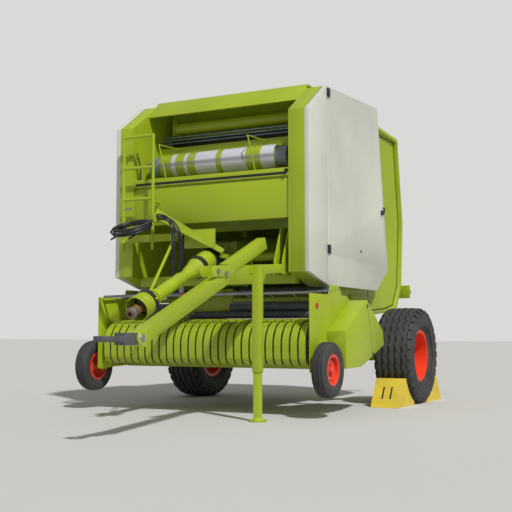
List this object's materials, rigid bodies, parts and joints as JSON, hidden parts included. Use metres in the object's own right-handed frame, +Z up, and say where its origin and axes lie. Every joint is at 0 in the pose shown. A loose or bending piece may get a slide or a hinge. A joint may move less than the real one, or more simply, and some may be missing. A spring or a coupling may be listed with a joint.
{
  "type": "fixed-chamber round baler",
  "caption": "Towed round baler with tined pick-up, lifting tailgate, hinged side doors, drive shaft, drawbar and parking jack.",
  "frame": {"origin": "on the ground, at the middle of the machine's overall length and width", "axes": "+Z up, +Y to the rear, -Y to the hitch, +X to the side that carries the drawbar"},
  "size_m": [2.494, 4.935, 2.655],
  "materials": {
    "lime_paint": "gloss",
    "white_paint": "semi-gloss",
    "red_paint": "gloss",
    "dark_green_steel": "worn",
    "tyre_rubber": "matt",
    "dark_rubber": "matt",
    "bare_steel": "satin",
    "cast_grey": "matt",
    "lime_plastic": "satin",
    "hose_rubber": "satin",
    "yellow_plastic": "matt",
    "red_plastic": "gloss",
    "white_film": "satin"
  },
  "bodies": {
    "chassis": {"axle": "lime_paint", "chamber_rollers": "dark_green_steel", "chamber_walls": "lime_paint", "chassis_frame": "lime_paint", "cylinder_pins": "lime_paint", "drawbar": "lime_paint", "front_panel": "lime_paint", "gearbox": "cast_grey", "hose_arm": "lime_paint", "hose_coil": "hose_rubber", "hose_couplings": "bare_steel", "hose_front_inner": "hose_rubber", "hose_front_outer": "hose_rubber", "hose_hooks": "lime_paint", "hose_inner": "hose_rubber", "hose_outer": "hose_rubber", "jack_sleeve": "lime_paint", "ladder": "lime_paint", "net_roll": "white_film", "net_rollers": "dark_green_steel", "net_tray": "lime_paint", "pto_guard": "lime_plastic", "roof_hood": "lime_paint", "shaft_rest": "lime_paint", "side_boxes": "lime_paint", "side_strips": "white_paint", "tongue": "lime_paint", "towing_eye": "cast_grey", "wheel_chocks": "yellow_plastic"},
    "door_left": {"door_left": "white_paint"},
    "door_right": {"door_right": "white_paint"},
    "tailgate": {"tailgate_shell": "lime_paint", "tailgate_rollers": "dark_green_steel", "rear_light_bar": "lime_paint", "rear_lamps": "red_plastic"},
    "cylinder_barrel_left": {"cylinder_barrel_left": "lime_paint"},
    "cylinder_barrel_right": {"cylinder_barrel_right": "lime_paint"},
    "cylinder_rod_left": {"cylinder_rod_left": "bare_steel"},
    "cylinder_rod_right": {"cylinder_rod_right": "bare_steel"},
    "pickup": {"pickup_frame": "lime_paint", "strippers": "lime_paint", "side_rolls": "dark_rubber", "pickup_drive_guard": "lime_paint"},
    "reel": {"pickup_reel": "dark_green_steel"},
    "crop_guard": {"crop_guard": "bare_steel"},
    "gauge_wheel_left": {"gauge_tyre_left": "tyre_rubber", "gauge_rim_left": "red_paint"},
    "gauge_wheel_right": {"gauge_tyre_right": "tyre_rubber", "gauge_rim_right": "red_paint"},
    "wheel_left": {"main_tyre_left": "tyre_rubber", "main_rim_left": "red_paint"},
    "wheel_right": {"main_tyre_right": "tyre_rubber", "main_rim_right": "red_paint"},
    "jack_leg": {"jack_leg": "lime_paint"},
    "pto_shaft": {"pto_shaft": "bare_steel"}
  },
  "joints": [
    {"name": "wheel_left_spin", "type": "hinge", "parent": "chassis", "child": "wheel_left", "pos_m": [1.072, 1.5225, 0.425], "axis": [1, 0, 0], "continuous": true},
    {"name": "gauge_wheel_left_spin", "type": "hinge", "parent": "pickup", "child": "gauge_wheel_left", "pos_m": [1.062, -0.2495, 0.354], "axis": [1, 0, 0], "continuous": true},
    {"name": "door_left_swing", "type": "hinge", "parent": "chassis", "child": "door_left", "pos_m": [0.905, 0.1525, 1.8], "axis": [0, 0, -1], "range_deg": [0, 110]},
    {"name": "cylinder_left_swing", "type": "hinge", "parent": "chassis", "child": "cylinder_barrel_left", "pos_m": [0.8, 0.7225, 1.95], "axis": [1, 0, 0], "range_deg": [0, 5]},
    {"name": "cylinder_left_stroke", "type": "slide", "parent": "cylinder_barrel_left", "child": "cylinder_rod_left", "axis": [0, 0.7863, 0.6178], "range_m": [0, 0.17]},
    {"name": "wheel_right_spin", "type": "hinge", "parent": "chassis", "child": "wheel_right", "pos_m": [-1.072, 1.5225, 0.425], "axis": [1, 0, 0], "continuous": true},
    {"name": "gauge_wheel_right_spin", "type": "hinge", "parent": "pickup", "child": "gauge_wheel_right", "pos_m": [-1.062, -0.2495, 0.354], "axis": [1, 0, 0], "continuous": true},
    {"name": "door_right_swing", "type": "hinge", "parent": "chassis", "child": "door_right", "pos_m": [-0.905, 0.1525, 1.8], "axis": [0, 0, 1], "range_deg": [0, 110]},
    {"name": "cylinder_right_swing", "type": "hinge", "parent": "chassis", "child": "cylinder_barrel_right", "pos_m": [-0.8, 0.7225, 1.95], "axis": [1, 0, 0], "range_deg": [0, 5]},
    {"name": "cylinder_right_stroke", "type": "slide", "parent": "cylinder_barrel_right", "child": "cylinder_rod_right", "axis": [0, 0.7863, 0.6178], "range_m": [0, 0.17]},
    {"name": "tailgate_lift", "type": "hinge", "parent": "chassis", "child": "tailgate", "pos_m": [0, 1.3175, 2.628], "axis": [1, 0, 0], "range_deg": [0, 65]},
    {"name": "pickup_lift", "type": "hinge", "parent": "chassis", "child": "pickup", "pos_m": [0, 0.6725, 0.7], "axis": [1, 0, 0], "range_deg": [0, 8]},
    {"name": "reel_spin", "type": "hinge", "parent": "pickup", "child": "reel", "pos_m": [0, -0.1175, 0.556], "axis": [1, 0, 0], "continuous": true},
    {"name": "crop_guard_swing", "type": "hinge", "parent": "pickup", "child": "crop_guard", "pos_m": [0, 0.0825, 0.95], "axis": [-1, 0, 0], "range_deg": [0, 12]},
    {"name": "jack_slide", "type": "slide", "parent": "chassis", "child": "jack_leg", "axis": [0, 0, 1], "range_m": [0, 0.3]},
    {"name": "pto_spin", "type": "hinge", "parent": "chassis", "child": "pto_shaft", "pos_m": [0, -1.1725, 0.79], "axis": [0, 0.921, 0.3895], "continuous": true}
  ],
  "couplings": [
    {"joint": "cylinder_left_stroke", "follows": "tailgate_lift", "m_per_rad": 0.1448},
    {"joint": "cylinder_left_swing", "follows": "tailgate_lift", "ratio": 0.0692},
    {"joint": "cylinder_right_stroke", "follows": "tailgate_lift", "m_per_rad": 0.1448},
    {"joint": "cylinder_right_swing", "follows": "tailgate_lift", "ratio": 0.0692}
  ]
}
